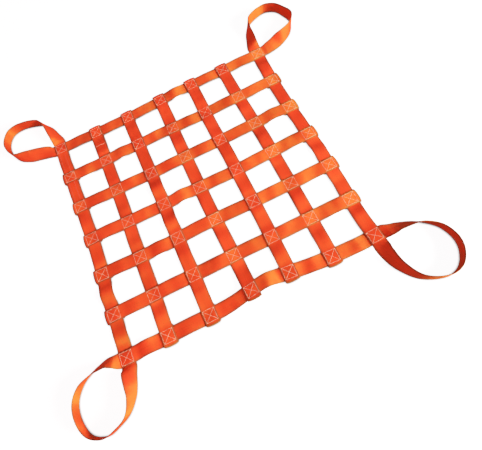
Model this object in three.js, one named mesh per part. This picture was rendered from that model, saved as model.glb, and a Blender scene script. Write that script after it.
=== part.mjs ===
import * as THREE from "three";

// Cargo lifting net of flat woven webbing, lying open on the ground, with a loop at each corner.
// Millimetres, +Z up. The origin is the middle of the net, on the ground.
// Long straps run along Y and are counted from -X. Cross straps run along X and are counted from -Y.

const meshCount = 6;          // meshes along each side
const pitch = 150;            // from one strap's centre line to the next
const strapWidth = 51;
const strapThick = 2.4;
const layerGap = 0.3;         // between two layers sewn together
const flatReach = 32;         // half the length that a strap lies flat at a crossing
const foldRoom = 4;           // from the border's edge to where a strap end turns round it
const tailReach = 32;         // from the border's centre line to the end of a folded tail
const tailRest = 4;           // length of strap that lies flat past a long tail
const loopLead = 80;          // length in which a loop comes down from its corner to the ground
const loopTurn = 46;          // length in which its sections turn from lying square to the crossing
const meshSteps = 5;
const foldSteps = 6;
const loopStep = 9;           // length between two sections of a loop
const webbingColour = 0xf0572a;

const halfWidth = strapWidth / 2;
const halfThick = strapThick / 2;
const layer = strapThick + layerGap;
const lastStrap = meshCount;
const halfNet = (meshCount * pitch) / 2;
const up = new THREE.Vector3(0, 0, 1);

// drift: how far a strap's centre line lies towards +X or +Y of its place in an even net,
// at the first border, in the middle of each mesh and at the last border.
// rise: how far it arches up in each mesh. lastTail: a longer tail at its last border.
const longStraps = [
  { drift: [-4, 0, -1, 6, 4, -1, -4, -6], rise: [4, 8, 1, 1, 1, 2] },
  { drift: [-1, -1, 0, 0, 4, 3, 4, 4], rise: [1, 1, 2, 1, 1, 1], lastTail: 82 },
  { drift: [1, 1, 0, 0, 1, 0, 0, 0], rise: [1, 2, 7, 7, 1, 2] },
  { drift: [8, 6, 2, -2, -1, -1, 2, 2], rise: [3, 2, 1, 1, 1, 1] },
  { drift: [-4, -2, 0, 0, 0, -4, -2, -2], rise: [1, 1, 1, 1, 2, 1] },
  { drift: [-6, -4, -1, 0, 1, -3, -6, -7], rise: [1, 1, 1, 2, 2, 1] },
  { drift: [1, -2, 2, 4, 0, -3, 2, 8], rise: [1, 2, 4, 2, 1, 2] },
];
const crossStraps = [
  { drift: [-2, -1, 1, 2, 20, 2, -6, -5], rise: [10, 1, 1, 6, 2, 2] },
  { drift: [-2, -2, 1, 0, 0, -1, -2, -3], rise: [1, 1, 1, 1, 1, 1] },
  { drift: [1, 0, -2, 3, 1, -1, -2, -2], rise: [1, 6, 1, 1, 1, 1] },
  { drift: [0, 1, -2, -1, -4, -2, 1, 0], rise: [1, 2, 7, 2, 1, 1] },
  { drift: [-1, -2, -2, -4, -3, -4, -4, -6], rise: [1, 1, 2, 1, 1, 5] },
  { drift: [-4, -6, -2, -1, -6, -4, -6, -6], rise: [2, 4, 1, 2, 1, 1] },
  { drift: [0, -3, -7, -4, 4, 4, 2, 2], rise: [2, 1, 1, 4, 1, 2] },
];

// Crossings that stand clear of the ground: the height of the middle, and the climb along X and Y.
const raisedCrossings = [
  { long: 3, cross: 0, lift: 16, leanX: 0.12, leanY: -0.2 },
  { long: lastStrap, cross: 0, lift: 6.2, leanX: 0.1, leanY: -0.08 },
];
const levelCrossing = { lift: 0, leanX: 0, leanY: 0 };

// Each loop leaves its corner along the long strap and comes back along the cross strap.
// out and away give the strap's lower edge from the corner crossing: out along X and away along Y.
// tilt is 0 where the strap lies flat and 90 where it stands on that edge.
const loops = [
  {
    name: "loop_back_left", long: 0, cross: lastStrap,
    rows: [
      { out: -halfWidth, away: 40, tilt: 20 },
      { out: -11, away: 76, tilt: 45 },
      { out: 11, away: 126, tilt: 66 },
      { out: 44, away: 159, tilt: 83 },
      { out: 124, away: 187, tilt: 80 },
      { out: 178, away: 179, tilt: 77 },
      { out: 205, away: 139, tilt: 80 },
      { out: 205, away: 92, tilt: 88 },
      { out: 178, away: 36, tilt: 86 },
      { out: 134, away: 5, tilt: 50 },
      { out: 98, away: -6, tilt: 33 },
      { out: 72, away: -13, tilt: 25 },
      { out: 50, away: -19, tilt: 13 },
      { out: 36, away: -24, tilt: 5 },
    ],
  },
  {
    name: "loop_back_right", long: lastStrap, cross: lastStrap,
    rows: [
      { out: -halfWidth, away: 44, tilt: 17 },
      { out: -14, away: 78, tilt: 39 },
      { out: 6, away: 127, tilt: 65 },
      { out: 39, away: 167, tilt: 84 },
      { out: 119, away: 195, tilt: 81 },
      { out: 166, away: 174, tilt: 82 },
      { out: 187, away: 127, tilt: 91 },
      { out: 194, away: 80, tilt: 99 },
      { out: 170, away: 32, tilt: 84 },
      { out: 134, away: 3, tilt: 62 },
      { out: 98, away: -14, tilt: 26 },
      { out: 44, away: -halfWidth, tilt: 8 },
    ],
  },
  {
    name: "loop_front_right", long: lastStrap, cross: 0,
    rows: [
      { out: -halfWidth, away: 45, tilt: 18 },
      { out: -19, away: 75, tilt: 40 },
      { out: 3, away: 128, tilt: 67 },
      { out: 48, away: 182, tilt: 87 },
      { out: 118, away: 211, tilt: 91 },
      { out: 166, away: 202, tilt: 89 },
      { out: 201, away: 161, tilt: 87 },
      { out: 210, away: 116, tilt: 85 },
      { out: 194, away: 65, tilt: 82 },
      { out: 156, away: 26, tilt: 75 },
      { out: 128, away: 8, tilt: 62 },
      { out: 86, away: -9, tilt: 44 },
      { out: 58, away: -16, tilt: 27 },
      { out: 36, away: -24, tilt: 10 },
    ],
  },
  {
    name: "loop_front_left", long: 0, cross: 0,
    rows: [
      { out: -halfWidth, away: 36, tilt: 12 },
      { out: -17, away: 60, tilt: 35 },
      { out: -7, away: 93, tilt: 56 },
      { out: 7, away: 123, tilt: 75 },
      { out: 40, away: 160, tilt: 94 },
      { out: 80, away: 180, tilt: 95 },
      { out: 122, away: 191, tilt: 91 },
      { out: 170, away: 170, tilt: 85 },
      { out: 192, away: 118, tilt: 85 },
      { out: 190, away: 62, tilt: 84 },
      { out: 160, away: 18, tilt: 82 },
      { out: 116, away: -9, tilt: 71 },
      { out: 88, away: -19, tilt: 61 },
      { out: 62, away: -halfWidth, tilt: 52 },
      { out: 44, away: -halfWidth, tilt: 40 },
      { out: 33, away: -halfWidth, tilt: 18 },
    ],
  },
];

// A smooth curve through values that stand at given places: its height and its slope at one place.
function curveAt(places, values, at) {
  const end = places.length - 1;
  const held = THREE.MathUtils.clamp(at, places[0], places[end]);
  const n = Math.min(places.findLastIndex((place) => place <= held), end - 1);
  const tangent = (k) => {
    const before = Math.max(k - 1, 0);
    const after = Math.min(k + 1, end);
    return (values[after] - values[before]) / (places[after] - places[before]);
  };
  const span = places[n + 1] - places[n];
  const t = (held - places[n]) / span;
  const [from, to] = [values[n], values[n + 1]];
  const [leave, arrive] = [tangent(n) * span, tangent(n + 1) * span];
  const bend = 3 * (to - from) - 2 * leave - arrive;
  const twist = 2 * (from - to) + leave + arrive;
  const value = from + t * (leave + t * (bend + t * twist));
  const slope = held === at ? (leave + t * (2 * bend + 3 * t * twist)) / span : 0;
  return { value, slope };
}

const ease = (t) => THREE.MathUtils.smoothstep(t, 0, 1);
const isBorder = (index) => index === 0 || index === lastStrap;
const evenPlace = (index) => index * pitch - halfNet;
const meshMiddles = longStraps[0].rise.map((_, mesh) => evenPlace(mesh + 0.5));
const driftPlaces = [-halfNet, ...meshMiddles, halfNet];

// Sideways place and slope of a strap's centre line, at a place along the strap.
function centreLine(isLong, index, along) {
  const { drift } = (isLong ? longStraps : crossStraps)[index];
  const { value, slope } = curveAt(driftPlaces, drift, along);
  return { place: evenPlace(index) + value, slope };
}

// Layers under a strap where a long and a cross strap meet.
// A border lies on the folded tails of the straps that end on it. Elsewhere one strap lies on the other.
function layersUnder(isLong, long, cross) {
  const [own, other] = isLong ? [long, cross] : [cross, long];
  if (isBorder(own) && !isBorder(other)) return 1;
  if (isBorder(other) && !isBorder(own)) return 2;
  const longOnTop = isBorder(own) ? (long === 0) !== (cross === 0) : long % 2 === 0;
  return longOnTop === isLong ? 1 : 0;
}

// How a strap lies at a crossing: the height of its underside, its lean and the height from layer to layer.
// climb is the lean along the strap, and roll is the lean across it.
function seatAt(isLong, long, cross) {
  const isHere = (row) => row.long === long && row.cross === cross;
  const { lift, leanX, leanY } = raisedCrossings.find(isHere) ?? levelCrossing;
  const layerRise = layer * Math.hypot(1, leanX, leanY);
  return {
    height: lift + layerRise * layersUnder(isLong, long, cross),
    lean: new THREE.Vector3(leanX, leanY, 0),
    climb: isLong ? leanY : leanX,
    roll: isLong ? leanX : leanY,
    layerRise,
  };
}

// Stretches of a strap that lie flat, one at each crossing, with the arch that follows each of them.
function flatStretches(isLong, index) {
  const { rise, lastTail } = (isLong ? longStraps : crossStraps)[index];
  const endReach = isBorder(index) ? halfWidth : halfWidth + foldRoom;
  const flats = [];
  for (let other = 0; other <= lastStrap; other += 1) {
    const { place } = centreLine(!isLong, other, evenPlace(index));
    const { place: aside } = centreLine(isLong, index, evenPlace(other));
    const seat = isLong ? seatAt(true, index, other) : seatAt(false, other, index);
    const from = place - (other === 0 ? endReach : flatReach);
    const to = place + (other === lastStrap ? endReach : flatReach);
    if (other === lastStrap && lastTail) {
      const tailEnd = place - lastTail;
      flats.push({ ...seat, height: layer, from: tailEnd - tailRest, to: tailEnd, place, aside, arch: 0 });
    }
    flats.push({ ...seat, from, to, place, aside, arch: rise[other] });
  }
  return flats;
}

// Height of a strap's underside on a flat stretch, which leans with its crossing.
function heightOn(flat, along, aside) {
  return flat.height + flat.climb * (along - flat.place) + flat.roll * (aside - flat.aside);
}

// What a strap that climbs at both ends of a stretch adds to the height inside it.
function climbBetween(flat, next, t) {
  return (next.from - flat.to) * t * (1 - t) * (flat.climb * (1 - t) - next.climb * t);
}

// One section of a strap: its middle and the direction across its width, which follows the lean.
function section(isLong, along, aside, height, slope, lean) {
  const middle = isLong ? new THREE.Vector3(aside, along, height) : new THREE.Vector3(along, aside, height);
  const side = isLong ? new THREE.Vector3(-1, slope, 0) : new THREE.Vector3(-slope, 1, 0);
  side.z = side.dot(lean);
  return { middle, side: side.normalize() };
}

// Each section's face looks away from the strap's run, square to its width.
function withFaces(sections) {
  const last = sections.length - 1;
  return sections.map(({ middle, side }, n) => {
    const before = sections[Math.max(n - 1, 0)].middle;
    const after = sections[Math.min(n + 1, last)].middle;
    const face = new THREE.Vector3().subVectors(after, before).cross(side).normalize();
    return { middle, side, face };
  });
}

// Sections of a strap end that turns round the border's outer edge and runs back under it.
function foldedEnd(isLong, index, flat, outward, reach) {
  const { place: aside } = centreLine(isLong, index, outward * halfNet);
  const start = flat.place + outward * (halfWidth + foldRoom);
  const sections = [];
  const addSection = (along, drop) => {
    const height = heightOn(flat, along, aside) + halfThick - drop;
    sections.push(section(isLong, along, aside, height, 0, flat.lean));
  };
  for (let step = 1; step <= foldSteps; step += 1) {
    const angle = (Math.PI * step) / foldSteps;
    addSection(start + outward * flat.layerRise * Math.sin(angle), flat.layerRise * (1 - Math.cos(angle)));
  }
  addSection(flat.place - outward * reach, 2 * flat.layerRise);
  return sections;
}

function strapSections(isLong, index) {
  const flats = flatStretches(isLong, index);
  const sections = [];
  const addSection = (along, underside, lean) => {
    const { place, slope } = centreLine(isLong, index, along);
    sections.push(section(isLong, along, place, underside + halfThick, slope, lean));
  };
  const heightAt = (flat, along) => heightOn(flat, along, centreLine(isLong, index, along).place);
  flats.forEach((flat, n) => {
    addSection(flat.from, heightAt(flat, flat.from), flat.lean);
    addSection(flat.to, heightAt(flat, flat.to), flat.lean);
    const next = flats[n + 1];
    for (let step = 1; next && step < meshSteps; step += 1) {
      const t = step / meshSteps;
      const along = THREE.MathUtils.lerp(flat.to, next.from, t);
      const level = THREE.MathUtils.lerp(heightAt(flat, flat.to), heightAt(next, next.from), ease(t));
      const arch = flat.arch * Math.sin(Math.PI * t) ** 2 + climbBetween(flat, next, t);
      addSection(along, level + arch, flat.lean.clone().lerp(next.lean, ease(t)));
    }
  });
  if (isBorder(index)) return withFaces(sections);
  const { lastTail = tailReach } = (isLong ? longStraps : crossStraps)[index];
  const firstEnd = foldedEnd(isLong, index, flats[0], -1, tailReach).reverse();
  const lastEnd = foldedEnd(isLong, index, flats[flats.length - 1], 1, lastTail);
  return withFaces([...firstEnd, ...sections, ...lastEnd]);
}

// Height and climb of a loop's lower edge, which leaves its crossing climbing and comes down to the ground.
function landing(height, climb, run) {
  const t = Math.min(run / loopLead, 1);
  return {
    height: height * (1 - ease(t)) + climb * loopLead * t * (1 - t) ** 2,
    climb: (-6 * height * t * (1 - t)) / loopLead + climb * (1 - t) * (1 - 3 * t),
  };
}

// Sections of a corner loop, which turns from lying flat to standing on its lower edge and back.
function loopSections({ long, cross, rows }) {
  const outSign = long === 0 ? -1 : 1;
  const awaySign = cross === 0 ? -1 : 1;
  const cornerX = centreLine(true, long, awaySign * halfNet).place;
  const cornerY = centreLine(false, cross, outSign * halfNet).place;
  const start = halfWidth + layerGap;
  const seats = [seatAt(true, long, cross), seatAt(false, long, cross)];
  const [leanOut, leanAway] = [outSign * seats[0].lean.x, awaySign * seats[0].lean.y];
  const tiltAt = (lean) => THREE.MathUtils.radToDeg(Math.atan(lean));
  const route = [
    { out: -halfWidth, away: start, tilt: tiltAt(leanOut) },
    ...rows,
    { out: start, away: -halfWidth, tilt: tiltAt(leanAway) },
  ];
  const places = [0];
  for (let n = 1; n < route.length; n += 1) {
    const chord = Math.hypot(route[n].out - route[n - 1].out, route[n].away - route[n - 1].away);
    places.push(places[n - 1] + chord);
  }
  const length = places[places.length - 1];
  const steps = Math.round(length / loopStep);
  const startHeight = seats[0].height - leanOut * halfWidth + leanAway * start;
  const endHeight = seats[1].height + leanOut * start - leanAway * halfWidth;
  const sections = [];
  for (let step = 0; step <= steps; step += 1) {
    const at = (length * step) / steps;
    const column = (name) => curveAt(places, route.map((row) => row[name]), at);
    const [out, away] = [column("out"), column("away")];
    const tilt = THREE.MathUtils.degToRad(column("tilt").value);
    const facing = new THREE.Vector2(out.slope, away.slope).normalize();
    facing.lerp(new THREE.Vector2(0, 1), 1 - ease(Math.min(at / loopTurn, 1)));
    facing.lerp(new THREE.Vector2(-1, 0), 1 - ease(Math.min((length - at) / loopTurn, 1)));
    const inward = new THREE.Vector3(outSign * facing.y, -awaySign * facing.x, 0).normalize();
    const leaving = landing(startHeight, leanAway, at);
    const arriving = landing(endHeight, leanOut, length - at);
    const middle = new THREE.Vector3(cornerX + outSign * out.value, cornerY + awaySign * away.value, 0);
    middle.addScaledVector(inward, halfWidth * Math.cos(tilt));
    middle.z = leaving.height + arriving.height + halfWidth * Math.sin(tilt);
    middle.z += halfThick * Math.abs(Math.cos(tilt));
    const side = inward.multiplyScalar(Math.cos(tilt)).addScaledVector(up, Math.sin(tilt));
    side.multiplyScalar(-outSign * awaySign);
    const climb = leaving.climb - arriving.climb;
    const heading = new THREE.Vector3(outSign * out.slope, awaySign * away.slope, climb);
    sections.push({ middle, side, face: heading.cross(side).normalize() });
  }
  return sections;
}

const webbing = new THREE.MeshStandardMaterial({ color: webbingColour, roughness: 0.75, metalness: 0 });

// A length of webbing: a flat bar with one row of corners laid on each section.
function strapMesh(name, sections) {
  const last = sections.length - 1;
  const geometry = new THREE.BoxGeometry(last, strapWidth, strapThick, last, 1, 1);
  const corners = geometry.attributes.position;
  const corner = new THREE.Vector3();
  for (let n = 0; n < corners.count; n += 1) {
    const row = Math.round(corners.getX(n) + last / 2);
    const { middle, side, face } = sections[row];
    corner.copy(middle).addScaledVector(side, corners.getY(n)).addScaledVector(face, corners.getZ(n));
    corners.setXYZ(n, corner.x, corner.y, corner.z);
  }
  geometry.computeVertexNormals();
  const mesh = new THREE.Mesh(geometry, webbing.clone());
  mesh.name = name;
  return mesh;
}

const borderNames = {
  long: ["border_left", "border_right"],
  cross: ["border_front", "border_back"],
};

function strapName(family, index) {
  if (isBorder(index)) return borderNames[family][index === 0 ? 0 : 1];
  return `${family}_strap_${index}`;
}

const net = new THREE.Group();
longStraps.forEach((_, index) => net.add(strapMesh(strapName("long", index), strapSections(true, index))));
crossStraps.forEach((_, index) => net.add(strapMesh(strapName("cross", index), strapSections(false, index))));
loops.forEach((loop) => net.add(strapMesh(loop.name, loopSections(loop))));

export default net;
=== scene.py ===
import math
import random

import bmesh
import bpy
from mathutils import Matrix, Vector


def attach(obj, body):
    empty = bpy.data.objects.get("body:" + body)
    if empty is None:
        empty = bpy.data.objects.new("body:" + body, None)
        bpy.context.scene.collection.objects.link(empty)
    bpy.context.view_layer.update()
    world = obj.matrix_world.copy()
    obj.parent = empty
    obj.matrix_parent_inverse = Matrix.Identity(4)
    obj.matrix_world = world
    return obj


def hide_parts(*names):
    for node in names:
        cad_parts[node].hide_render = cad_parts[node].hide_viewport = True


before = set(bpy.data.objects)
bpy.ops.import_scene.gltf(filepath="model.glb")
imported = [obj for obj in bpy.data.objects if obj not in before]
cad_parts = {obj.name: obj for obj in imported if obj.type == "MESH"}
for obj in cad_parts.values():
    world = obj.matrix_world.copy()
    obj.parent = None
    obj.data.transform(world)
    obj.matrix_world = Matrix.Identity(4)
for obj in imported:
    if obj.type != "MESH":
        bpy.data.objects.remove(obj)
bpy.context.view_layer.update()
mm = 0.001
up = Vector((0, 0, 1))
xAxis, yAxis = 0, 1
print("frame loaded,", len(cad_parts), "nodes")

# camera first, at the photo's viewing angle
photoCamera = {
    "place": (0.05096, -0.66983, 1.18029),
    "aim": (0.07313, -0.21026, 0),
    "roll": -23.56,          # degrees about the view line
    "lens": 26.733,
    "sensor": 36,
}


def aimedFrom(place, target):
    return Matrix.Translation(place) @ (target - place).to_track_quat("-Z", "Y").to_matrix().to_4x4()


def makeCamera(plan):
    camera = bpy.data.objects.new("photo_camera", bpy.data.cameras.new("photo_camera"))
    bpy.context.scene.collection.objects.link(camera)
    roll = Matrix.Rotation(math.radians(plan["roll"]), 4, "Z")
    camera.matrix_world = aimedFrom(Vector(plan["place"]), Vector(plan["aim"])) @ roll
    camera.data.sensor_width = plan["sensor"]
    camera.data.lens = plan["lens"]
    bpy.context.scene.camera = camera


makeCamera(photoCamera)
print("camera set")

# the net, in millimetres: long straps run along Y and count from -X, cross straps along X and count from -Y
net = {
    "meshes": 6,
    "pitch": 150,
    "layerGap": 0.3,
    "flatReach": 32,         # half the length that lies flat at a crossing
    "foldRoom": 4,           # border edge to where a strap end turns
    "foldSteps": 12,
    "tailReach": 32,         # border middle to the end of a folded tail
    "tailRest": 4,           # length that lies flat past a long tail
    "loopLead": 80,          # length in which a loop comes down to the ground
    "loopTurn": 46,          # and in which it turns from lying square to its crossing
    "pathStep": 2,           # between two sections of a path
}
webbing = {
    "width": 51,
    "thick": 2.4,
    "ribPitch": 3.7,
    "ribDepth": 0.32,
    "rowsPerRib": 4,
    "edgeScallop": 0.2,
    "columns": (-24.4, -12.6, 0, 12.6, 24.4),                # points over a face
    "selvedge": ((25.22, 0.72), (25.5, 0), (25.22, -0.72)),  # points round an edge
    "weld": 0.001,           # points nearer than this are joined
}
halfWidth = webbing["width"] / 2
halfThick = webbing["thick"] / 2
layer = webbing["thick"] + net["layerGap"]
lastStrap = net["meshes"]
halfNet = net["meshes"] * net["pitch"] / 2

# drift: sideways from an even net, at the first border, in each mesh and at the last border
# rise: the arch in each mesh, lastTail: a longer tail at the last border
longStraps = [
    {"drift": [-4, 0, -1, 6, 4, -1, -4, -6], "rise": [4, 8, 1, 1, 1, 2]},
    {"drift": [-1, -1, 0, 0, 4, 3, 4, 4], "rise": [1, 1, 2, 1, 1, 1], "lastTail": 82},
    {"drift": [1, 1, 0, 0, 1, 0, 0, 0], "rise": [1, 2, 7, 7, 1, 2]},
    {"drift": [8, 6, 2, -2, -1, -1, 2, 2], "rise": [3, 2, 1, 1, 1, 1]},
    {"drift": [-4, -2, 0, 0, 0, -4, -2, -2], "rise": [1, 1, 1, 1, 2, 1]},
    {"drift": [-6, -4, -1, 0, 1, -3, -6, -7], "rise": [1, 1, 1, 2, 2, 1]},
    {"drift": [1, -2, 2, 4, 0, -3, 2, 8], "rise": [1, 2, 4, 2, 1, 2]},
]
crossStraps = [
    {"drift": [-2, -1, 1, 2, 20, 2, -6, -5], "rise": [10, 1, 1, 6, 2, 2]},
    {"drift": [-2, -2, 1, 0, 0, -1, -2, -3], "rise": [1, 1, 1, 1, 1, 1]},
    {"drift": [1, 0, -2, 3, 1, -1, -2, -2], "rise": [1, 6, 1, 1, 1, 1]},
    {"drift": [0, 1, -2, -1, -4, -2, 1, 0], "rise": [1, 2, 7, 2, 1, 1]},
    {"drift": [-1, -2, -2, -4, -3, -4, -4, -6], "rise": [1, 1, 2, 1, 1, 5]},
    {"drift": [-4, -6, -2, -1, -6, -4, -6, -6], "rise": [2, 4, 1, 2, 1, 1]},
    {"drift": [0, -3, -7, -4, 4, 4, 2, 2], "rise": [2, 1, 1, 4, 1, 2]},
]
# crossings clear of the ground, by long and cross strap: height of the middle, then the climb along X and Y
raised = {
    (3, 0): (16, Vector((0.12, -0.2, 0))),
    (lastStrap, 0): (6.2, Vector((0.1, -0.08, 0))),
}


# height and slope of a smooth curve through values that stand at given places
def smoothCurve(places, values, at):
    end = len(places) - 1
    held = min(max(at, places[0]), places[end])
    n = min(max(i for i, place in enumerate(places) if place <= held), end - 1)

    def tangent(k):
        before, after = max(k - 1, 0), min(k + 1, end)
        return (values[after] - values[before]) / (places[after] - places[before])

    span = places[n + 1] - places[n]
    t = (held - places[n]) / span
    leave, arrive = tangent(n) * span, tangent(n + 1) * span
    step = values[n + 1] - values[n]
    bend = 3 * step - 2 * leave - arrive
    twist = leave + arrive - 2 * step
    value = values[n] + t * (leave + t * (bend + t * twist))
    slope = (leave + t * (2 * bend + 3 * t * twist)) / span if held == at else 0
    return value, slope


def ease(t):
    t = min(max(t, 0), 1)
    return t * t * (3 - 2 * t)


def isBorder(index):
    return index in (0, lastStrap)


def evenPlace(index):
    return index * net["pitch"] - halfNet


driftPlaces = [-halfNet] + [evenPlace(mesh + 0.5) for mesh in range(net["meshes"])] + [halfNet]


def strapOf(isLong, index):
    return (longStraps if isLong else crossStraps)[index]


# sideways place and slope of a strap's middle, at a place along it
def centreLine(isLong, index, along):
    value, slope = smoothCurve(driftPlaces, strapOf(isLong, index)["drift"], along)
    return evenPlace(index) + value, slope


def longOnTop(long, cross):
    if isBorder(long) and isBorder(cross):
        return (long == 0) != (cross == 0)
    return isBorder(cross) or (not isBorder(long) and long % 2 == 0)


def layersUnder(isLong, long, cross):
    own, other = (long, cross) if isLong else (cross, long)
    if isBorder(own) and not isBorder(other):
        return 1          # on the folded tail
    if isBorder(other) and not isBorder(own):
        return 2          # over the border
    return 1 if longOnTop(long, cross) == isLong else 0


def leanAt(long, cross):
    return raised.get((long, cross), (0, Vector()))


# how a strap lies at a crossing: underside height, lean, climb along it, roll across it
def seatAt(isLong, long, cross):
    lift, lean = leanAt(long, cross)
    layerRise = layer * (up - lean).length
    return {
        "height": lift + layerRise * layersUnder(isLong, long, cross),
        "lean": lean,
        "climb": lean.y if isLong else lean.x,
        "roll": lean.x if isLong else lean.y,
        "layerRise": layerRise,
    }


# lengths of a strap that lie flat, one at each crossing, with the arch that follows
def flatStretches(isLong, index):
    strap = strapOf(isLong, index)
    endReach = halfWidth + (0 if isBorder(index) else net["foldRoom"])
    flats = []
    for other in range(lastStrap + 1):
        seat = seatAt(True, index, other) if isLong else seatAt(False, other, index)
        place = centreLine(not isLong, other, evenPlace(index))[0]
        seat |= {"place": place, "aside": centreLine(isLong, index, evenPlace(other))[0]}
        if other == lastStrap and "lastTail" in strap:
            tailEnd = place - strap["lastTail"]
            pastTail = {"from": tailEnd - net["tailRest"], "to": tailEnd, "height": layer, "arch": 0}
            flats.append(seat | pastTail)
        flats.append(seat | {
            "from": place - (endReach if other == 0 else net["flatReach"]),
            "to": place + (endReach if other == lastStrap else net["flatReach"]),
            "arch": strap["rise"][other] if other < lastStrap else 0,
        })
    return flats


def heightOn(flat, along, aside):
    return flat["height"] + flat["climb"] * (along - flat["place"]) + flat["roll"] * (aside - flat["aside"])


def climbBetween(flat, following, t):
    climb = flat["climb"] * (1 - t) - following["climb"] * t
    return (following["from"] - flat["to"]) * t * (1 - t) * climb


# a path is a list of sections, each with its middle and the direction across the strap
def section(isLong, along, aside, height, slope, lean):
    middle = Vector((aside, along, height)) if isLong else Vector((along, aside, height))
    side = Vector((-1, slope, 0)) if isLong else Vector((-slope, 1, 0))
    side.z = side.dot(lean)
    return middle, side.normalized()


def foldedEnd(isLong, index, flat, outward, reach):
    aside = centreLine(isLong, index, outward * halfNet)[0]
    start = flat["place"] + outward * (halfWidth + net["foldRoom"])
    turns = [math.pi * step / net["foldSteps"] for step in range(1, net["foldSteps"] + 1)]
    rise = flat["layerRise"]
    spots = [(start + outward * rise * math.sin(turn), rise * (1 - math.cos(turn))) for turn in turns]
    spots.append((flat["place"] - outward * reach, 2 * rise))
    path = []
    for along, drop in spots:
        height = heightOn(flat, along, aside) + halfThick - drop
        path.append(section(isLong, along, aside, height, 0, flat["lean"]))
    return path


def strapPath(isLong, index):
    flats = flatStretches(isLong, index)
    path = []

    def addSection(along, underside, lean):
        aside, slope = centreLine(isLong, index, along)
        path.append(section(isLong, along, aside, underside + halfThick, slope, lean))

    def heightAt(flat, along):
        return heightOn(flat, along, centreLine(isLong, index, along)[0])

    for flat, following in zip(flats, flats[1:] + [None]):
        steps = round((flat["to"] - flat["from"]) / net["pathStep"])
        for step in range(steps + 1):
            along = flat["from"] + (flat["to"] - flat["from"]) * step / steps
            addSection(along, heightAt(flat, along), flat["lean"])
        if following is None:
            break
        leave, arrive = heightAt(flat, flat["to"]), heightAt(following, following["from"])
        steps = round((following["from"] - flat["to"]) / net["pathStep"])
        for step in range(1, steps):
            t = step / steps
            underside = leave + (arrive - leave) * ease(t) + climbBetween(flat, following, t)
            underside += flat["arch"] * math.sin(math.pi * t) ** 2
            along = flat["to"] + (following["from"] - flat["to"]) * t
            addSection(along, underside, flat["lean"].lerp(following["lean"], ease(t)))
    if isBorder(index):
        return path
    lastTail = strapOf(isLong, index).get("lastTail", net["tailReach"])
    firstEnd = foldedEnd(isLong, index, flats[0], -1, net["tailReach"])
    return firstEnd[::-1] + path + foldedEnd(isLong, index, flats[-1], 1, lastTail)


# loops: each leaves its corner along the long strap and comes back along the cross strap
# rows give the lower edge from the corner, out along X and away along Y,
# and the tilt in degrees, 90 where the strap stands on that edge
loops = {
    "loop_back_left": {"long": 0, "cross": lastStrap, "rows": [
        (-halfWidth, 40, 20), (-11, 76, 45), (11, 126, 66), (44, 159, 83), (124, 187, 80),
        (178, 179, 77), (205, 139, 80), (205, 92, 88), (178, 36, 86), (134, 5, 50),
        (98, -6, 33), (72, -13, 25), (50, -19, 13), (36, -24, 5)]},
    "loop_back_right": {"long": lastStrap, "cross": lastStrap, "rows": [
        (-halfWidth, 44, 17), (-14, 78, 39), (6, 127, 65), (39, 167, 84), (119, 195, 81),
        (166, 174, 82), (187, 127, 91), (194, 80, 99), (170, 32, 84), (134, 3, 62),
        (98, -14, 26), (44, -halfWidth, 8)]},
    "loop_front_right": {"long": lastStrap, "cross": 0, "rows": [
        (-halfWidth, 45, 18), (-19, 75, 40), (3, 128, 67), (48, 182, 87), (118, 211, 91),
        (166, 202, 89), (201, 161, 87), (210, 116, 85), (194, 65, 82), (156, 26, 75),
        (128, 8, 62), (86, -9, 44), (58, -16, 27), (36, -24, 10)]},
    "loop_front_left": {"long": 0, "cross": 0, "rows": [
        (-halfWidth, 36, 12), (-17, 60, 35), (-7, 93, 56), (7, 123, 75), (40, 160, 94),
        (80, 180, 95), (122, 191, 91), (170, 170, 85), (192, 118, 85), (190, 62, 84),
        (160, 18, 82), (116, -9, 71), (88, -19, 61), (62, -halfWidth, 52), (44, -halfWidth, 40),
        (33, -halfWidth, 18)]},
}


# height of a loop's lower edge, which comes down from its crossing
def landing(height, climb, run):
    t = min(run / net["loopLead"], 1)
    return height * (1 - ease(t)) + climb * net["loopLead"] * t * (1 - t) ** 2


def loopPath(loop):
    long, cross = loop["long"], loop["cross"]
    outSign = -1 if long == 0 else 1
    awaySign = -1 if cross == 0 else 1
    cornerX = centreLine(True, long, awaySign * halfNet)[0]
    cornerY = centreLine(False, cross, outSign * halfNet)[0]
    start = halfWidth + net["layerGap"]
    lean = leanAt(long, cross)[1]
    leanOut, leanAway = outSign * lean.x, awaySign * lean.y
    first = (-halfWidth, start, math.degrees(math.atan(leanOut)))
    last = (start, -halfWidth, math.degrees(math.atan(leanAway)))
    route = [first] + loop["rows"] + [last]
    places = [0]
    for here, ahead in zip(route, route[1:]):
        places.append(places[-1] + math.dist(here[:2], ahead[:2]))
    length = places[-1]
    startHeight = seatAt(True, long, cross)["height"] - leanOut * halfWidth + leanAway * start
    endHeight = seatAt(False, long, cross)["height"] + leanOut * start - leanAway * halfWidth
    columns = list(zip(*route))
    path = []
    steps = round(length / net["pathStep"])
    for step in range(steps + 1):
        at = length * step / steps
        out, outSlope = smoothCurve(places, columns[0], at)
        away, awaySlope = smoothCurve(places, columns[1], at)
        tilt = math.radians(smoothCurve(places, columns[2], at)[0])
        facing = Vector((outSlope, awaySlope)).normalized()
        facing = Vector((0, 1)).lerp(facing, ease(at / net["loopTurn"]))
        facing = Vector((-1, 0)).lerp(facing, ease((length - at) / net["loopTurn"]))
        inward = Vector((outSign * facing.y, -awaySign * facing.x, 0)).normalized()
        lift = landing(startHeight, leanAway, at) + landing(endHeight, leanOut, length - at)
        middle = Vector((cornerX + outSign * out, cornerY + awaySign * away, lift))
        middle += inward * halfWidth * math.cos(tilt)
        middle.z += halfWidth * math.sin(tilt) + halfThick * abs(math.cos(tilt))
        side = inward * math.cos(tilt) + up * math.sin(tilt)
        path.append((middle, side * -outSign * awaySign))
    return path


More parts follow.
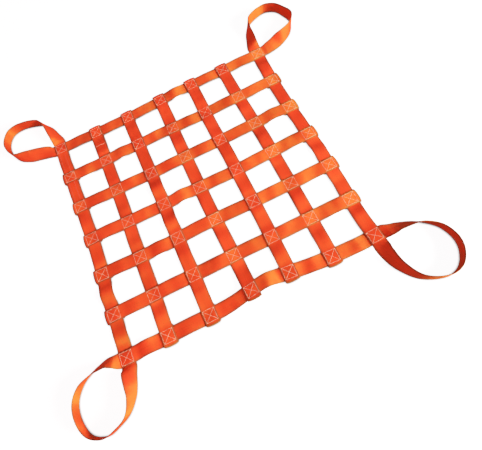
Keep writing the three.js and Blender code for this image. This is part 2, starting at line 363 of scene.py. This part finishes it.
def turnedBack(path):
    return [(middle, -side) for middle, side in reversed(path)]


# sections at even steps along a path: middle, side, face and length so far
def evenRun(path):
    places = [0]
    for here, ahead in zip(path, path[1:]):
        places.append(places[-1] + (ahead[0] - here[0]).length)
    step = webbing["ribPitch"] / webbing["rowsPerRib"]
    rows = round(places[-1] / step)
    spots, n = [], 0
    for row in range(rows + 1):
        at = places[-1] * row / rows
        while n < len(path) - 2 and places[n + 1] < at:
            n += 1
        t = (at - places[n]) / (places[n + 1] - places[n])
        (here, side), (ahead, nextSide) = path[n], path[n + 1]
        spots.append((here.lerp(ahead, t), side.lerp(nextSide, t).normalized(), at))
    run = []
    for row, (middle, side, at) in enumerate(spots):
        heading = spots[min(row + 1, rows)][0] - spots[max(row - 1, 0)][0]
        run.append((middle, side, heading.cross(side).normalized(), at))
    return run


def webbingRing():
    ring = [(across, halfThick) for across in webbing["columns"]] + list(webbing["selvedge"])
    return ring + [(-across, -height) for across, height in ring]


# folded ends, drawn in at their corners and with painted shade where they turn, measured out from the
# border's middle
softEnd = {
    "from": 13,
    "reach": 20,
    "pull": 3,
    "cornerPower": 3,        # keeps the pull near the strap's edges
    "foldFrom": 25,
    "foldReach": 5.5,
}


def endPlaces(isLong, index):
    if isBorder(index):
        return []
    return [(outward, centreLine(not isLong, border, evenPlace(index))[0])
            for outward, border in ((-1, 0), (1, lastStrap))]


# pulls a folded end in at its corners, and gives the mask for the painted shade where it turns
def drawnIn(spot, aside, axis, ends):
    foldShade = 0
    for outward, place in ends:
        out = outward * (spot[axis] - place)
        foldShade = max(foldShade, ease((out - softEnd["foldFrom"]) / softEnd["foldReach"]))
        past = max((out - softEnd["from"]) / softEnd["reach"], 0)
        spot[axis] -= outward * softEnd["pull"] * past * abs(aside / halfWidth) ** softEnd["cornerPower"]
    return spot, foldShade


# a flat unit grid, rolled round the webbing's ring and laid along the run
def webbingPiece(name, run, finish, tone, axis, ends):
    ring = webbingRing()
    rows = len(run) - 1
    bm = bmesh.new()
    weave = bm.loops.layers.uv.new("weave")
    along = bm.verts.layers.float.new("along")
    across = bm.verts.layers.float.new("across")
    shade = bm.verts.layers.float.new("tone")
    # the mask for the painted shade where a strap end turns
    foldShadeLayer = bm.verts.layers.float.new("foldShade")
    bmesh.ops.create_grid(bm, x_segments=rows, y_segments=len(ring), size=0.5, calc_uvs=True)
    for vert in bm.verts:
        middle, side, face, at = run[round((vert.co.x + 0.5) * rows)]
        aside, height = ring[round((vert.co.y + 0.5) * len(ring)) % len(ring)]
        groove = 0.5 - 0.5 * math.cos(2 * math.pi * at / webbing["ribPitch"])
        vert[along], vert[across], vert[shade] = at * mm, aside * mm, tone
        if abs(aside) > webbing["columns"][-1]:
            aside -= math.copysign(webbing["edgeScallop"] * groove, aside)
        else:
            height -= math.copysign(webbing["ribDepth"] * groove, height)
        spot, vert[foldShadeLayer] = drawnIn(middle + side * aside + face * height, aside, axis, ends)
        vert.co = spot * mm
    length = run[-1][3]
    for quad in bm.faces:
        for corner in quad.loops:
            corner[weave].uv.x *= length * mm
            corner[weave].uv.y *= 2 * webbing["width"] * mm
    bmesh.ops.remove_doubles(bm, verts=bm.verts, dist=webbing["weld"] * mm)
    bmesh.ops.holes_fill(bm, edges=[edge for edge in bm.edges if edge.is_boundary], sides=0)
    bmesh.ops.recalc_face_normals(bm, faces=bm.faces)
    for quad in bm.faces:
        quad.smooth = len(quad.verts) == 4      # the two cut ends stay flat
    mesh = bpy.data.meshes.new(name)
    bm.to_mesh(mesh)
    bm.free()
    mesh.materials.append(finish)
    piece = bpy.data.objects.new(name, mesh)
    bpy.context.scene.collection.objects.link(piece)
    return piece


# short ways to add shader nodes: an input is a value, or another node's output to link
def addNode(tree, kind, inputs=None, **settings):
    made = tree.nodes.new(kind)
    for key, value in settings.items():
        setattr(made, key, value)
    for socket, value in (inputs or {}).items():
        if isinstance(value, bpy.types.NodeSocket):
            tree.links.new(value, made.inputs[socket])
        else:
            made.inputs[socket].default_value = value
    return made


def calc(tree, operation, first, second=0.0):
    return addNode(tree, "ShaderNodeMath", {0: first, 1: second}, operation=operation).outputs[0]


def blendColour(tree, kind, amount, first, second):
    mix = addNode(tree, "ShaderNodeMix", {0: amount, 6: first, 7: second}, data_type="RGBA", blend_type=kind)
    return mix.outputs[2]


def remap(tree, value, band, shown=(0.0, 1.0)):
    inputs = {
        "Value": value, "From Min": band[0], "From Max": band[1], "To Min": shown[0], "To Max": shown[1]}
    return addNode(tree, "ShaderNodeMapRange", inputs, interpolation_type="SMOOTHSTEP").outputs[0]


def attribute(tree, name):
    return addNode(tree, "ShaderNodeAttribute", attribute_name=name).outputs["Fac"]


def noise(tree, place, detail, scale=1):
    inputs = {"Vector": place, "Scale": scale, "Detail": detail}
    return addNode(tree, "ShaderNodeTexNoise", inputs).outputs["Fac"]


def newFinish(name):
    finish = bpy.data.materials.new(name)
    finish.use_nodes = True
    finish.node_tree.nodes.clear()
    return finish, finish.node_tree


webbingFinish = {
    "orange": (0.92, 0.033, 0.0125, 1),
    # painted shade in the rib grooves
    "groove": (0.78, 0.0235, 0.0088, 1),
    "edge": (0.20, 0.033, 0.015, 1),     # painted shade, darker towards the strap edges
    "edgeShadeBand": (14.5 * mm, 26.5 * mm),
    "foldShade": (0.20, 0.018, 0.010, 1),     # painted shade where a strap end turns
    "tracer": (0.09, 0.02, 0.01, 1),     # fine dark line along the middle
    "tracerWidth": 0.5 * mm,
    "tracerPeriod": 2.25,     # in ribs
    "tracerDash": 0.5,        # share of the period
    "yarnLong": 40,           # streaks in a metre along the strap
    "yarnWide": 1100,         # and across it
    "yarnDetail": 3,
    "yarnBand": (0.25, 0.75),
    "yarnShade": (0.88, 1.12),
    "buckleLong": 13,         # buckles in a metre along the strap
    "buckleWide": 11,         # and across it
    "buckleShift": 300,       # sets each strap's buckles apart by its tone
    "buckleDetail": 0.5,
    "buckleBand": (0.3, 0.7),
    # painted light and shade of the buckles
    "buckleLightAndShade": (0.92, 1.08),
    "buckleRise": 26 * mm,
    "twillPitch": 1.0 * mm,
    "twillShare": 0.35,
    "weaveBump": 0.35,
    "weaveRise": 0.25 * mm,
    "roughness": 0.85,
    "refraction": 1.8,
    "specular": 1.0,
    "specularTint": (1.0, 0.66, 0.18, 1),
    "anisotropy": 0.85,
    "sheenTurn": 0.25,        # a quarter turn from the strap's run
}


def makeWebbingFinish(look):
    finish, tree = newFinish("orange_webbing")
    along, across, tone = attribute(tree, "along"), attribute(tree, "across"), attribute(tree, "tone")
    ribs = calc(tree, "MULTIPLY", along, 1 / (webbing["ribPitch"] * mm))
    ridge = calc(tree, "COSINE", calc(tree, "MULTIPLY", ribs, 2 * math.pi))
    # the grooves between the ribs take a darker colour: painted shade
    colour = blendColour(tree, "MIX", remap(tree, ridge, (-1, 1)), look["groove"], look["orange"])
    # warp yarns, long streaks down the strap
    yarnPlace = addNode(tree, "ShaderNodeCombineXYZ", {
        0: calc(tree, "MULTIPLY", along, look["yarnLong"]),
        1: calc(tree, "MULTIPLY", across, look["yarnWide"])}).outputs[0]
    yarns = noise(tree, yarnPlace, look["yarnDetail"])
    yarnShade = remap(tree, yarns, look["yarnBand"], look["yarnShade"])
    # slow buckles of the laid strap, whose height also lightens and darkens the colour: painted light and
    # shade
    bucklePlace = addNode(tree, "ShaderNodeCombineXYZ", {
        0: calc(tree, "MULTIPLY", along, look["buckleLong"]),
        1: calc(tree, "MULTIPLY", across, look["buckleWide"]),
        2: calc(tree, "MULTIPLY", tone, look["buckleShift"])}).outputs[0]
    buckles = noise(tree, bucklePlace, look["buckleDetail"])
    buckleLightAndShade = remap(tree, buckles, look["buckleBand"], look["buckleLightAndShade"])
    shade = calc(tree, "MULTIPLY", calc(tree, "MULTIPLY", yarnShade, buckleLightAndShade), tone)
    shadeColour = addNode(tree, "ShaderNodeCombineColor", {0: shade, 1: shade, 2: shade}).outputs[0]
    colour = blendColour(tree, "MULTIPLY", 1.0, colour, shadeColour)
    # painted shade towards the edges and where the ends turn, then the tracer line
    offMiddle = calc(tree, "ABSOLUTE", across)
    colour = blendColour(tree, "MIX", remap(tree, offMiddle, look["edgeShadeBand"]), colour, look["edge"])
    colour = blendColour(tree, "MIX", attribute(tree, "foldShade"), colour, look["foldShade"])
    dashPlace = calc(tree, "FRACT", calc(tree, "DIVIDE", ribs, look["tracerPeriod"]))
    dash = calc(tree, "LESS_THAN", dashPlace, look["tracerDash"])
    tracer = calc(tree, "MULTIPLY", dash, calc(tree, "LESS_THAN", offMiddle, look["tracerWidth"] / 2))
    colour = blendColour(tree, "MIX", tracer, colour, look["tracer"])
    # relief: the buckles, and the weave on them
    slow = addNode(tree, "ShaderNodeBump", {
        "Strength": 1.0, "Distance": look["buckleRise"], "Height": buckles})
    twill = calc(tree, "SINE", calc(tree, "MULTIPLY", across, 2 * math.pi / look["twillPitch"]))
    height = calc(tree, "ADD", calc(tree, "MULTIPLY", twill, look["twillShare"]), yarns)
    bump = addNode(tree, "ShaderNodeBump", {
        "Strength": look["weaveBump"], "Distance": look["weaveRise"],
        "Height": height, "Normal": slow.outputs[0]})
    tangent = addNode(tree, "ShaderNodeTangent", direction_type="UV_MAP", uv_map="weave")
    cloth = addNode(tree, "ShaderNodeBsdfPrincipled", {
        "Base Color": colour,
        "Roughness": look["roughness"],
        "IOR": look["refraction"],
        "Specular IOR Level": look["specular"],
        "Specular Tint": look["specularTint"],
        "Anisotropic": look["anisotropy"],
        "Anisotropic Rotation": look["sheenTurn"],
        "Tangent": tangent.outputs[0],
        "Normal": bump.outputs[0],
    })
    addNode(tree, "ShaderNodeOutputMaterial", {"Surface": cloth.outputs[0]})
    return finish


orangeWebbing = makeWebbingFinish(webbingFinish)
print("webbing finish made")

handwork = {"seed": 7, "strapTone": (0.97, 1.03)}
draw = random.Random(handwork["seed"])
runs = {}


def addStrap(name, path, nodes, axis=xAxis, ends=()):
    runs[name] = evenRun(path)
    piece = webbingPiece(name, runs[name], orangeWebbing, draw.uniform(*handwork["strapTone"]), axis, ends)
    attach(piece, "root")
    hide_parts(*nodes)


for index in range(1, lastStrap):
    for isLong, family in ((True, "long"), (False, "cross")):
        addStrap(f"webbing_{family}_{index}", strapPath(isLong, index), [f"{family}_strap_{index}"],
                 axis=yAxis if isLong else xAxis, ends=endPlaces(isLong, index))
print("inner straps made")

# the border is one strap: each side runs on into the loop at its far corner and ends under its own crossing
borders = {
    "left": {"isLong": True, "index": 0, "back": False, "loop": "loop_back_left"},
    "back": {"isLong": False, "index": lastStrap, "back": False, "loop": "loop_back_right"},
    "right": {"isLong": True, "index": lastStrap, "back": True, "loop": "loop_front_right"},
    "front": {"isLong": False, "index": 0, "back": True, "loop": "loop_front_left"},
}


def borderPath(side):
    path = strapPath(side["isLong"], side["index"])
    corner = loops[side["loop"]]
    loop = loopPath(corner)
    path = turnedBack(path) if side["back"] else path
    loop = loop if side["isLong"] else turnedBack(loop)
    begin = next(n for n, spot in enumerate(path) if (spot[0] - path[0][0]).length > halfWidth)
    middle, across = loop[-1]
    heading = across.cross(up).normalized()
    heading.z = heading.dot(leanAt(corner["long"], corner["cross"])[1])
    inner = [(middle + heading * step, across) for step in (halfWidth / 2, halfWidth)]
    return path[begin:] + loop + inner


for name, side in borders.items():
    addStrap(f"webbing_border_{name}", borderPath(side), [f"border_{name}", side["loop"]])
print("border and loops made")

# sewing: a box and a cross at every crossing, on both faces, and three straight seams
sewing = {
    "halfBox": 20.5,
    "stitch": 3.9,           # from one stitch to the next
    "threadLong": 3.9,
    "threadWide": 1.35,
    "threadHigh": 1.0,
    "sides": 6,
    "bands": 4,
    "sink": 0.12,            # middle of the thread below the face
    "stray": 0.22,
    "swing": 5,              # degrees
    "light": (0.78, 0.44, 0.30, 1),
    "dark": (0.66, 0.26, 0.15, 1),
    "lapLight": (0.90, 0.14, 0.06, 1),
    "lapDark": (0.45, 0.035, 0.015, 1),
    "fuzz": 420,             # tufts in a metre
    "fuzzDetail": 3,
    "fuzzBand": (0.3, 0.7),
    "fuzzBump": 0.5,
    "fuzzRise": 0.2 * mm,
    "roughness": 0.6,
    "sheen": 0.2,
}


def makeThreadFinish(name, dark, light):
    finish, tree = newFinish(name)
    place = addNode(tree, "ShaderNodeTexCoord").outputs["Object"]
    fuzz = noise(tree, place, sewing["fuzzDetail"], sewing["fuzz"])
    colour = blendColour(tree, "MIX", remap(tree, fuzz, sewing["fuzzBand"]), dark, light)
    bump = addNode(tree, "ShaderNodeBump", {
        "Strength": sewing["fuzzBump"], "Distance": sewing["fuzzRise"], "Height": fuzz})
    thread = addNode(tree, "ShaderNodeBsdfPrincipled", {
        "Base Color": colour,
        "Roughness": sewing["roughness"],
        "Sheen Weight": sewing["sheen"],
        "Normal": bump.outputs[0],
    })
    addNode(tree, "ShaderNodeOutputMaterial", {"Surface": thread.outputs[0]})
    return finish


paleThread = makeThreadFinish("seam_thread", sewing["dark"], sewing["light"])
orangeThread = makeThreadFinish("lap_thread", sewing["lapDark"], sewing["lapLight"])


# one stitch, as corners and faces to set down many times
def stitchShape():
    bm = bmesh.new()
    bmesh.ops.create_uvsphere(bm, u_segments=sewing["sides"], v_segments=sewing["bands"], radius=0.5)
    bmesh.ops.rotate(bm, verts=bm.verts, matrix=Matrix.Rotation(math.pi / 2, 3, "Y"))
    size = (sewing["threadLong"], sewing["threadWide"], sewing["threadHigh"])
    bmesh.ops.scale(bm, verts=bm.verts, vec=size)
    corners = [vert.co.copy() for vert in bm.verts]
    faces = [[vert.index for vert in face.verts] for face in bm.faces]
    bm.free()
    return corners, faces


stitchCorners, stitchFaces = stitchShape()


# place and turn of each stitch in a straight row
def seamLine(begin, finish):
    stitches = max(1, round(math.dist(begin, finish) / sewing["stitch"]))
    turn = math.atan2(finish[1] - begin[1], finish[0] - begin[0])
    for n in range(stitches):
        t = (n + 0.5) / stitches
        yield begin[0] + (finish[0] - begin[0]) * t, begin[1] + (finish[1] - begin[1]) * t, turn


def boxAndCross():
    h = sewing["halfBox"]
    corners = [(-h, -h), (h, -h), (h, h), (-h, h)]
    for n, corner in enumerate(corners):
        yield from seamLine(corners[n - 1], corner)
    yield from seamLine(corners[0], corners[2])
    yield from seamLine(corners[1], corners[3])


def stitchAt(frameHere, x, y, turn):
    stray, swing = sewing["stray"], math.radians(sewing["swing"])
    x, y = x + draw.uniform(-stray, stray), y + draw.uniform(-stray, stray)
    place = frameHere @ Matrix.Translation((x, y, -sewing["sink"]))
    return place @ Matrix.Rotation(turn + draw.uniform(-swing, swing), 4, "Z")


def sewPiece(name, placements, finish):
    corners, faces = [], []
    for place in placements:
        first = len(corners)
        corners += [place @ corner * mm for corner in stitchCorners]
        faces += [[first + n for n in face] for face in stitchFaces]
    mesh = bpy.data.meshes.new(name)
    mesh.from_pydata(corners, [], faces)
    mesh.shade_smooth()
    mesh.materials.append(finish)
    piece = bpy.data.objects.new(name, mesh)
    bpy.context.scene.collection.objects.link(piece)
    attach(piece, "root")


topStitches, underStitches = [], []
for long in range(lastStrap + 1):
    for cross in range(lastStrap + 1):
        x, slopeLong = centreLine(True, long, evenPlace(cross))
        y, slopeCross = centreLine(False, cross, evenPlace(long))
        bottom, lean = leanAt(long, cross)
        seat = seatAt(longOnTop(long, cross), long, cross)
        top = seat["height"] + webbing["thick"] * seat["layerRise"] / layer
        tip = up.rotation_difference(up - lean).to_matrix().to_4x4()
        turn = tip @ Matrix.Rotation((slopeCross - slopeLong) / 2, 4, "Z")
        upward = Matrix.Translation((x, y, top)) @ turn
        downward = Matrix.Translation((x, y, bottom)) @ turn @ Matrix.Rotation(math.pi, 4, "X")
        topStitches += [stitchAt(upward, *spot) for spot in boxAndCross()]
        underStitches += [stitchAt(downward, *spot) for spot in boxAndCross()]


# a frame on the upper face of a strap along Y, at its highest row near a place
def frameOn(strap, place):
    near = [row for row in runs[strap] if abs(row[0].y - place) < webbing["ribPitch"]]
    middle, side, face = max(near, key=lambda row: row[0].z)[:3]
    turn = Matrix((side.cross(face), side, face)).transposed().to_4x4()
    return Matrix.Translation(middle + face * halfThick) @ turn


# the lap of the border strap, and the end of a long tail
lap = {"strap": "webbing_border_left", "across": (-8, 14), "from": 178, "to": 422}
tailSeam = {"strap": "webbing_long_1", "at": 373}
lapStitches = []
for across in lap["across"]:
    for x, y, turn in seamLine((lap["from"], across), (lap["to"], across)):
        lapStitches.append(stitchAt(frameOn(lap["strap"], x), 0, y, turn))
for x, y, turn in seamLine((0, -sewing["halfBox"]), (0, sewing["halfBox"])):
    topStitches.append(stitchAt(frameOn(tailSeam["strap"], tailSeam["at"]), x, y, turn))
sewPiece("seams_top", topStitches, paleThread)
sewPiece("seams_under", underStitches, paleThread)
sewPiece("seams_lap", lapStitches, orangeThread)
print("sewing made,", len(topStitches) + len(underStitches) + len(lapStitches), "stitches")

studio = {
    "floorSize": 60,              # metres
    "floorDrop": 0.6 * mm,
    "floorColour": (0.25, 0.25, 0.25, 1),
    "floorRoughness": 0.9,
    "floorGlow": 1.75,
    "contactReach": 7 * mm,       # how far the painted contact shadow beside a strap reaches over the floor
    "contactGlow": 0.15,
    "contactBand": (0.4, 0.95),
    "contactSamples": 16,
    "white": (1, 1, 1, 1),
    "sky": 0.36,
    "ground": 0.30,
    "horizon": (-0.15, 0.25),     # where the ground's light turns into the sky's
    # a gloss lamp lights only the sheen along the yarns, and the others only the cloth's own colour
    "lamps": {
        "key": {
            "place": (3.1, -2.7, 1.9), "size": 1.3, "power": 600, "colour": (1, 1, 1), "gloss": False},
        "sheen": {
            "place": (6.2, -5.4, 3.8), "size": 2.6, "power": 3100, "colour": (1, 0.74, 0.3), "gloss": True},
        "fill": {                 # red, to deepen the shade
            "place": (-2.8, 0.0, 1.5), "size": 3, "power": 64, "colour": (1, 0.06, 0.2), "gloss": False},
    },
    "whiteLevel": 2,
    "shoulder": [(0.15, 0.3), (0.25, 0.47), (0.5, 0.74), (0.75, 0.9)],    # tone curve
}


def makeFloor():
    bm = bmesh.new()
    bmesh.ops.create_grid(bm, x_segments=1, y_segments=1, size=studio["floorSize"] / 2)
    bmesh.ops.translate(bm, verts=bm.verts, vec=(0, 0, -studio["floorDrop"]))
    mesh = bpy.data.meshes.new("floor")
    bm.to_mesh(mesh)
    bm.free()
    finish, tree = newFinish("pale_floor")
    # painted contact shadow: the floor's glow is dimmed where a strap stands close
    openness = addNode(tree, "ShaderNodeAmbientOcclusion", {"Distance": studio["contactReach"]},
                       samples=studio["contactSamples"]).outputs["AO"]
    glow = remap(tree, openness, studio["contactBand"], (studio["contactGlow"], studio["floorGlow"]))
    paint = addNode(tree, "ShaderNodeBsdfPrincipled", {
        "Base Color": studio["floorColour"],
        "Roughness": studio["floorRoughness"],
        "Emission Color": studio["white"],
        "Emission Strength": glow,
    })
    addNode(tree, "ShaderNodeOutputMaterial", {"Surface": paint.outputs[0]})
    mesh.materials.append(finish)
    floor = bpy.data.objects.new("floor", mesh)
    bpy.context.scene.collection.objects.link(floor)
    floor.visible_diffuse = False      # the glow stays on the floor
    floor.visible_glossy = False


def makeSky():
    world = bpy.data.worlds.new("studio")
    world.use_nodes = True
    world.cycles_visibility.glossy = False
    tree = world.node_tree
    facing = addNode(tree, "ShaderNodeTexCoord").outputs["Generated"]
    height = addNode(tree, "ShaderNodeSeparateXYZ", {0: facing}).outputs[2]
    strength = remap(tree, height, studio["horizon"], (studio["ground"], studio["sky"]))
    # the camera sees it as white as the floor
    isSeen = addNode(tree, "ShaderNodeLightPath").outputs["Is Camera Ray"]
    strength = calc(tree, "MAXIMUM", strength, calc(tree, "MULTIPLY", isSeen, studio["floorGlow"]))
    background = tree.nodes["Background"]
    background.inputs["Color"].default_value = studio["white"]
    tree.links.new(strength, background.inputs["Strength"])
    bpy.context.scene.world = world


def makeLamps():
    for name, plan in studio["lamps"].items():
        lamp = bpy.data.lights.new(name, "AREA")
        lamp.size, lamp.energy, lamp.color = plan["size"], plan["power"], plan["colour"]
        light = bpy.data.objects.new(name, lamp)
        light.visible_glossy, light.visible_diffuse = plan["gloss"], not plan["gloss"]
        light.matrix_world = aimedFrom(Vector(plan["place"]), Vector())
        bpy.context.scene.collection.objects.link(light)


def setTones():
    show = bpy.context.scene.view_settings
    show.view_transform = "Standard"
    show.use_curve_mapping = True
    show.curve_mapping.white_level = [studio["whiteLevel"]] * 3
    allColours = show.curve_mapping.curves[3]
    for light, shown in studio["shoulder"]:
        allColours.points.new(light, shown)
    show.curve_mapping.update()


makeFloor()
makeSky()
makeLamps()
setTones()
print("floor and light made")
